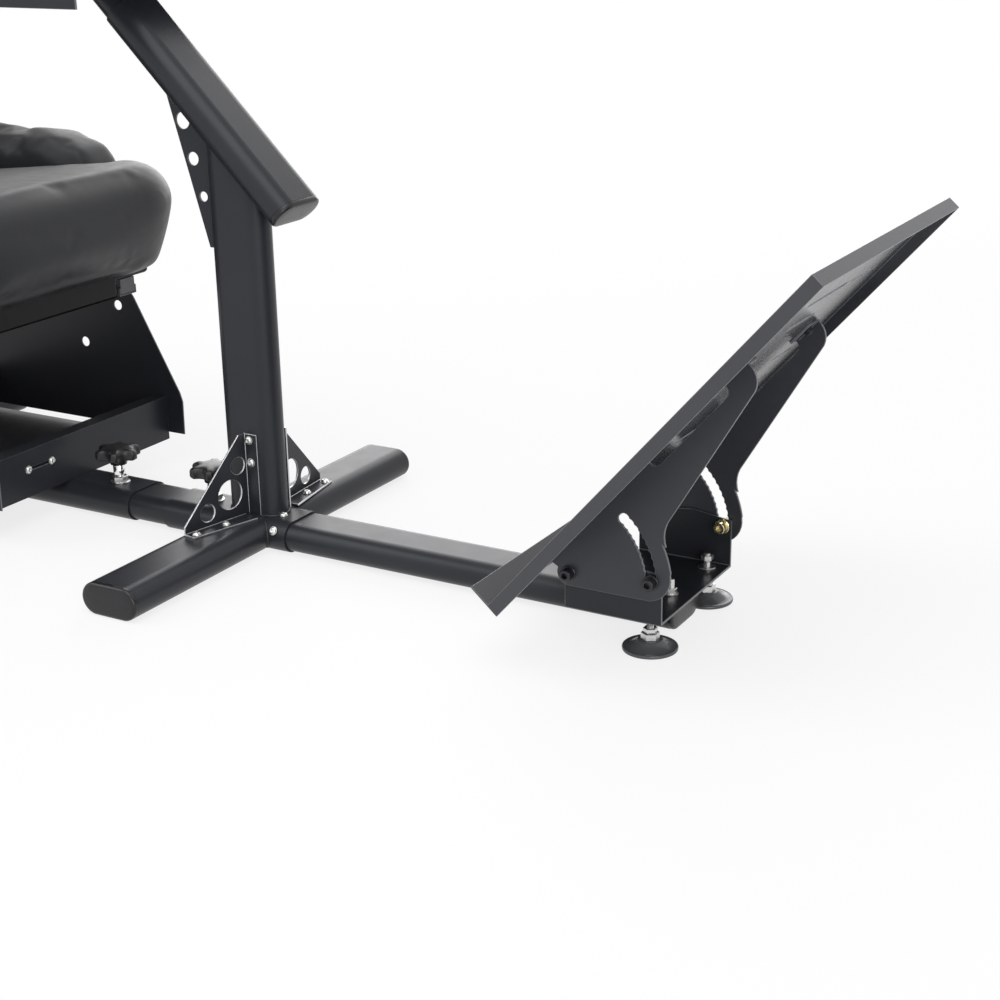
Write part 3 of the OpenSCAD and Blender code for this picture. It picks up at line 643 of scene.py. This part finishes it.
def socketBoltAt(name, place, outward, headOut):
    head = turn(name + "Head", socketBolt["head"], 48)
    long = socketBolt["cutter"] / 1000
    up = socketBolt["top"] / 1000 + long / 2 - socketBolt["socketDeep"] / 1000
    bpy.ops.mesh.primitive_cylinder_add(vertices=6, radius=socketBolt["socket"] / 1000, depth=long,
                                        location=(0, 0, up))
    cutter = bpy.context.object
    cut = head.modifiers.new("socket", "BOOLEAN")
    cut.object = cutter
    cut.solver = "EXACT"
    select(head)
    applyAll(head)
    bpy.data.objects.remove(cutter)
    bpy.ops.object.shade_smooth_by_angle(angle=math.radians(35))
    grip = -socketBolt["grip"]
    shank = turn(name + "Shank", thread(grip - socketBolt["tail"], 0.0), 20, 20)
    nut = turn(name + "Nut", nutRings(socketBolt["nut"][0], grip - socketBolt["nut"][1], grip), 6, 25)
    bolt = join(name, [head, shank, nut])
    if headOut:
        matrix = Matrix.Translation(place) @ Matrix.Rotation(math.radians(-90 * outward), 4, "X")
    else:
        inner = Vector(place) - Vector((0, outward * socketBolt["grip"] / 1000, 0))
        matrix = Matrix.Translation(inner) @ Matrix.Rotation(math.radians(90 * outward), 4, "X")
    bolt.data.transform(matrix)
    return bolt


def addCrossBolts():
    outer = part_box("pedal_arm_left")[1][1] + socketBolt["clear"] / 1000
    places = {node: centre(node) for node in ("pivot_bolts", "slot_bolt_right", "slot_bolt_left")}
    pivot, right, left = places.values()
    pivots = [socketBoltAt("pivotBolt%d" % i, (pivot.x, side * outer, pivot.z), side, True)
              for i, side in enumerate((-1, 1))]
    bolts = [join("pivotBolts", pivots), socketBoltAt("slotBoltRight", (right.x, -outer, right.z), -1, True),
             socketBoltAt("slotBoltLeft", (left.x, outer, left.z), 1, False)]
    for bolt, node in zip(bolts, places):
        dressAndReplace(bolt, slotOf[node], node)


addCrossBolts()

# Studs of the pedal base: places in metres, heights from the floor in millimetres
baseStud = {"places": [(0.580, -0.015), (0.511, 0.015)], "nut": (7.0, 42.3, 48.2), "thread": (38.2, 58.6),
            "washer": [(8.0, 40.8), (8.5, 41.1), (8.5, 41.9), (8.1, 42.2)]}


def addBaseStuds():
    studs = []
    for i, (x, y) in enumerate(baseStud["places"]):
        pieces = [turn("studWasher", baseStud["washer"], 32), turn("studNut", nutRings(*baseStud["nut"]), 6, 25),
                  studTo("studThread", *baseStud["thread"])]
        stud = join("baseStud%d" % i, pieces)
        stud.data.transform(Matrix.Translation((x, y, 0)))
        studs.append(stud)
    dressAndReplace(join("baseStuds", studs), "zinc", "base_bolts")


addBaseStuds()

soften("plate_bolts", 0.0006, "plateBoltsTurned", angle=30)

# Button heads: two beside the column's foot, four on each gusset, two on the tray
# Places in metres; rings, offsets along a gusset and the sheet's thickness in millimetres; swings in degrees
buttonHead = {
    "rings": [(5.4, 0.0), (5.7, 0.3), (5.6, 1.0), (4.9, 1.1), (4.8, 2.0), (4.3, 2.9), (3.4, 3.5), (2.4, 3.8),
              (2.1, 3.7), (1.9, 2.4), (0.6, 2.3)],
    "sleeve": [((0.0412, -0.007, 0.0400), 0), ((0.0475, -0.0378, 0.0305), 60)],
    "gussets": [(-1, -2, 12), (1, 12, 5)], "gussetUp": [(10, 70), (8.5, 99)], "gussetOut": [50, 97],
    "gussetFrom": 14, "sheet": 2.5,
    "tray": [(-0.297, -0.101, 0.077), (-0.297, -0.058, 0.077)],
}


def buttonAt(name, matrix):
    head = turn(name, buttonHead["rings"], 24)
    head.data.transform(matrix)
    return head


def addButtons():
    heads = [buttonAt("sleeveButton", Matrix.Translation(place) @ Matrix.Rotation(math.radians(lean), 4, "X"))
             for place, lean in buttonHead["sleeve"]]
    dress(join("sleeveButtons", heads), "zinc", "column_sleeve")
    half, sheet, top = tube["half"], buttonHead["sheet"], tube["high"]
    heads = []
    for side, offset, swing in buttonHead["gussets"]:
        for across, up in buttonHead["gussetUp"]:
            place = Matrix.Translation(((offset + across) / 1000, side * (half + sheet) / 1000, (top + up) / 1000))
            heads.append(buttonAt("gussetButton", place @ Matrix.Rotation(math.radians(-90 * side), 4, "X")))
        root = Matrix.Translation((offset / 1000, side * half / 1000, top / 1000))
        root = root @ Matrix.Rotation(math.radians(side * swing), 4, "Z")
        for out in buttonHead["gussetOut"]:
            place = Matrix.Translation((buttonHead["gussetFrom"] / 1000, side * out / 1000, sheet / 1000))
            heads.append(buttonAt("gussetButton", root @ place))
    dressAndReplace(join("gussetScrewsTurned", heads), "zinc", "gusset_screws")
    heads = [buttonAt("trayButton", Matrix.Translation(place) @ Matrix.Rotation(math.radians(90), 4, "Y"))
             for place in buttonHead["tray"]]
    dressAndReplace(join("trayBoltsTurned", heads), "zinc", "tray_bolts")


addButtons()
print("feet and fasteners done")

# Weld beads in millimetres; a ring runs a little wide of its tube, and a foot's bead a little out from the sleeve
weld = {"radius": 1.9, "step": 1.7, "ripple": 0.16, "widen": 1.005, "heighten": 1.01, "outFrom": 20.4,
        "columnFoot": 40.6, "sink": 0.8}


# A rippled bead along a line of points in millimetres
def addBead(name, points, node, closed=False):
    walk = points + points[:1] if closed else points
    dense = []
    for start, stop in zip(walk, walk[1:]):
        count = max(1, round((Vector(stop) - Vector(start)).length / weld["step"]))
        dense += [Vector(start).lerp(Vector(stop), i / count) for i in range(count)]
    if not closed:
        dense.append(Vector(walk[-1]))
    line = bpy.data.curves.new(name, "CURVE")
    line.dimensions = "3D"
    line.bevel_depth = weld["radius"] / 1000
    line.bevel_resolution = 2
    line.use_fill_caps = True
    spline = line.splines.new("POLY")
    spline.points.add(len(dense) - 1)
    spline.use_cyclic_u = closed
    for i, (point, place) in enumerate(zip(spline.points, dense)):
        point.co = (*(place / 1000), 1)
        point.radius = 1 + weld["ripple"] * (1 if i % 2 else -1)
    bead = bpy.data.objects.new(name, line)
    bpy.context.scene.collection.objects.link(bead)
    select(bead)
    bpy.ops.object.convert(target="MESH")
    bead = bpy.context.object
    bpy.ops.object.shade_smooth()
    dress(bead, "steel", node)


# Points across and up around a flat-oval tube, from one angle in degrees to another
def oval(start=-45, stop=225, steps=14):
    half = tube["half"]
    arc = [(half, start + (90 - start) * i / steps) for i in range(steps + 1)]
    arc += [(-half, 90 + (stop - 90) * i / steps) for i in range(steps + 1)]
    return [(x + half * math.cos(math.radians(a)), half * math.sin(math.radians(a))) for x, a in arc]


def addWelds():
    half = tube["half"]
    rearFootX = centre("rear_foot_right").x * 1000
    for node, side, x in (("cross_foot_right", -1, 0.0), ("cross_foot_left", 1, 0.0),
                          ("rear_foot_right", -1, rearFootX), ("rear_foot_left", 1, rearFootX)):
        line = [(x + across, side * (weld["outFrom"] + math.sqrt(max(0, half ** 2 - up * up))), half + up)
                for across, up in oval()]
        addBead(node + "Weld", line, node)
    ring = [(across * weld["widen"], up * weld["heighten"], across) for across, up in oval(start=-90, stop=269)]
    addBead("columnWeld", [(x, y, weld["columnFoot"]) for x, y, across in ring], "column", True)
    top, rise = steeringTube["height"] - weld["sink"], math.tan(steeringTube["slope"])
    addBead("steeringWeld", [(x, y, top - across * rise) for x, y, across in ring], "column", True)


addWelds()
print("welds done")

def remesh(piece, voxel):
    even = piece.modifiers.new("even", "REMESH")
    even.mode = "VOXEL"
    even.voxel_size = voxel


def smooth(piece, rounds, factor=0.5):
    relax = piece.modifiers.new("relax", "SMOOTH")
    relax.factor = factor
    relax.iterations = rounds


# How a cushion is blown up, and how often it is smoothed before and after
stuffing = {"pressure": 4.0, "stiffness": 12, "quality": 4, "frames": 16, "smoothBefore": 6, "smoothAfter": 3}


# Fills a closed shape like a cushion: remesh, blow up with cloth, hold each point within a cap, smooth
def stuff(piece, voxel, cap, rounds=stuffing["smoothBefore"]):
    select(piece)
    remesh(piece, voxel)
    smooth(piece, rounds)
    applyAll(piece)
    before = [point.co.copy() for point in piece.data.vertices]
    cloth = piece.modifiers.new("cloth", "CLOTH")
    cloth.settings.use_pressure = True
    cloth.settings.uniform_pressure_force = stuffing["pressure"]
    cloth.settings.effector_weights.gravity = 0
    cloth.settings.quality = stuffing["quality"]
    cloth.settings.tension_stiffness = stuffing["stiffness"]
    cloth.settings.compression_stiffness = stuffing["stiffness"]
    for step in range(1, stuffing["frames"] + 1):
        bpy.context.scene.frame_set(step)
    applyAll(piece)
    bpy.context.scene.frame_set(1)
    for point, was in zip(piece.data.vertices, before):
        move = point.co - was
        if move.length > cap:
            point.co = was + move * (cap / move.length)
    smooth(piece, stuffing["smoothAfter"])
    finer = piece.modifiers.new("finer", "SUBSURF")
    finer.levels = 1
    applyAll(piece)
    bpy.ops.object.shade_smooth()


# The seat cushion in metres: a wide nose with rounded corners, and a middle that runs back between the bolsters
cushionSize = {
    "front": -0.254, "noseRear": -0.392, "rear": -0.762, "halfWidth": 0.260, "halfMiddle": 0.172,
    "low": 0.2893, "top": 0.4313, "cornerRadius": 0.106, "cornerSteps": 12, "topRadius": 0.050,
    "undercut": 0.031, "bellied": 1.35, "reach": 0.080, "fall": 0.037,
    "shrink": 0.004, "cap": 0.007, "voxel": 0.006, "fill": 0.75,
}


# How far the nose's wall lies inside its widest outline at a height
def wallInset(height, size):
    widest = size["top"] - size["topRadius"]
    if height < widest:
        return size["undercut"] * ((widest - height) / (widest - size["low"])) ** size["bellied"]
    rise = min((height - widest) / size["topRadius"], 1.0)
    return size["topRadius"] * (1 - math.sqrt(1 - rise * rise))


def addSeatCushion(nearZero=0.0001):
    size = cushionSize
    small, radius = size["shrink"], size["cornerRadius"]
    front, noseRear, rear = size["front"] - small, size["noseRear"] + small, size["rear"] + small
    wide, middle = size["halfWidth"] - small, size["halfMiddle"] - small
    low, top = size["low"] + small, size["top"] - small
    blocks = []
    for ahead, behind, half in ((front, noseRear, wide), (front - size["reach"], rear, middle)):
        bpy.ops.object.select_all(action="DESELECT")
        bpy.ops.mesh.primitive_cube_add(size=1, location=((ahead + behind) / 2, 0, (low + top) / 2),
                                        scale=(ahead - behind, 2 * half, top - low))
        bpy.ops.object.transform_apply(location=True, rotation=True, scale=True)
        blocks.append(bpy.context.object)
    edit(blocks[0])
    pickEdges(blocks[0], lambda edge: all(end.co.x > (front + noseRear) / 2 for end in edge.verts)
              and abs(edge.verts[0].co.z - edge.verts[1].co.z) > (top - low) / 2)
    bpy.ops.mesh.bevel(offset=radius, segments=size["cornerSteps"], affect="EDGES")
    leave()
    piece = join("seatCushionPadded", blocks)
    remesh(piece, size["voxel"])
    applyAll(piece)
    for point in piece.data.vertices:
        along, across = point.co.x - (front - radius), abs(point.co.y) - (wide - radius)
        outward = Vector((max(along, 0), max(across, 0)))
        if outward.length < nearZero:
            outward = Vector((1, 0)) if along > across else Vector((0, 1))
            depth = radius - max(along, across)
        else:
            depth = radius - outward.length
            outward.normalize()
        move = wallInset(point.co.z, size) * math.exp(-(depth / size["reach"]) ** 2)
        point.co.x -= outward.x * move
        point.co.y -= math.copysign(outward.y * move, point.co.y)
        if point.co.x < noseRear:
            share = (noseRear - point.co.x) / (noseRear - rear) * (point.co.z - low) / (top - low)
            point.co.z -= size["fall"] * share
    stuff(piece, size["voxel"], size["cap"])
    dressAndReplace(piece, "vinyl", "seat_cushion")


addSeatCushion()

# The other cushions, shrunk from their CAD solids before they are blown up, in metres
padPieces = {
    "seat_bolster_right": {"shrink": 0.006, "cap": 0.009, "voxel": 0.0055, "rounds": 14, "fill": 0.8},
    "back_cushion": {"shrink": 0.007, "cap": 0.012, "voxel": 0.006, "rounds": 10, "fill": 0.7},
    "back_bolster_right": {"shrink": 0.006, "cap": 0.009, "voxel": 0.0055, "rounds": 14, "fill": 0.8},
    "headrest": {"shrink": 0.006, "cap": 0.011, "voxel": 0.005, "rounds": 12, "fill": 0.75},
}


def addPads():
    mirror = Matrix.Scale(-1, 4, (0, 1, 0))
    for node, size in padPieces.items():
        piece = copyNode(node, node + "Padded")
        edit(piece)
        bpy.ops.transform.shrink_fatten(value=-size["shrink"])
        leave()
        stuff(piece, size["voxel"], size["cap"], size["rounds"])
        dress(piece, "vinyl", node)
        if node.endswith("_right"):
            other = node.replace("_right", "_left")
            left = twin(piece, other + "Padded")
            left.data.transform(mirror)
            left.data.flip_normals()
            dressAndReplace(left, "vinyl", other)
        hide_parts(node)


addPads()
# The seat base's skirt takes the darker vinyl, which is painted shade
soften("seat_pan", 0.006, "seatBaseCovered", segments=4, finish="skirtVinylPaintedShade")
soften("back_shell", 0.008, "backShellMoulded", segments=4)
print("padding done")
